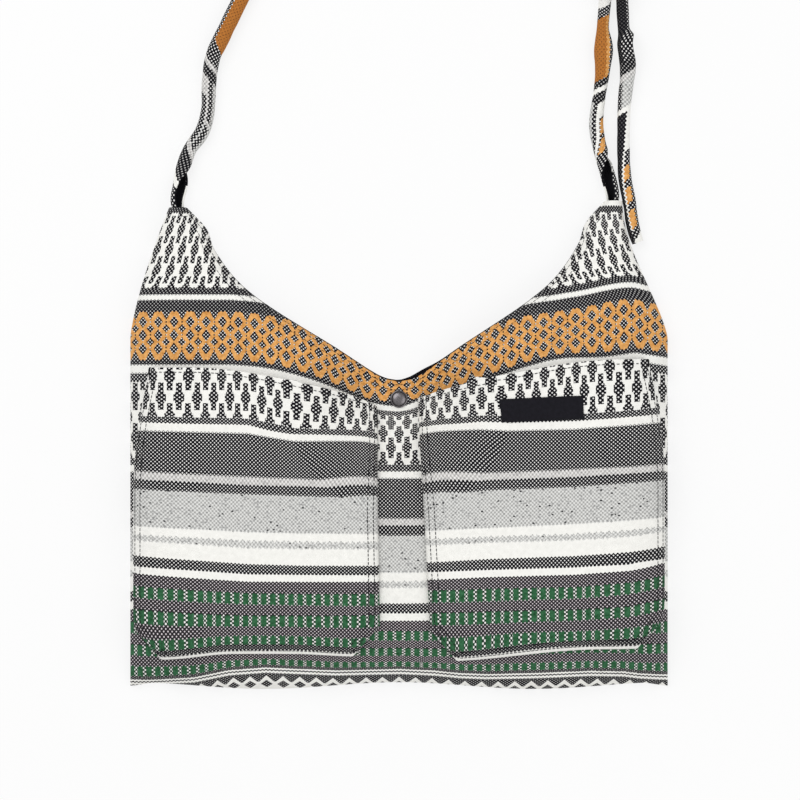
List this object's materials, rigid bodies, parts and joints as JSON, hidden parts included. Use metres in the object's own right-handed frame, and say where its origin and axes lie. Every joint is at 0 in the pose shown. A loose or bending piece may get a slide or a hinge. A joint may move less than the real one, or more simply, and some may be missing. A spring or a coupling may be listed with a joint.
{
  "type": "shoulder bag",
  "caption": "Soft shoulder bag of striped woven rug cloth with a V mouth, patch pockets, a snap and curled cloth straps tied in a reef knot, laid on its back.",
  "frame": {"origin": "middle of the back panel's underside, where the bag rests, 120 mm above the base seam and midway between the side seams", "axes": "+X to the right as seen from the front, +Y towards the horns and straps, +Z out of the front, away from the floor it lies on"},
  "size_m": [0.405, 0.6726, 0.0503],
  "materials": {
    "rug_cloth": "thick woven rug cloth, matt, striped across in charcoal, off-white, grey, ochre and green",
    "black_lining": "thin black plain-weave cotton, matt",
    "black_thread": "satin-stitched black polyester thread",
    "woven_label": "fine black woven ribbon, slightly satin",
    "gunmetal": "dark gunmetal plating, satin"
  },
  "bodies": {
    "root": {"front_panel": "rug_cloth", "back_panel": "rug_cloth", "front_lining": "black_lining", "back_lining": "black_lining", "left_pocket": "rug_cloth", "right_pocket": "rug_cloth", "left_pocket_bartack": "black_thread", "right_pocket_bartack": "black_thread", "label": "woven_label", "snap_cap": "gunmetal", "snap_socket": "gunmetal", "snap_stud": "gunmetal", "snap_stud_plate": "gunmetal", "left_strap": "rug_cloth", "right_strap": "rug_cloth", "left_strap_facing": "black_lining", "right_strap_facing": "black_lining"}
  },
  "joints": []
}
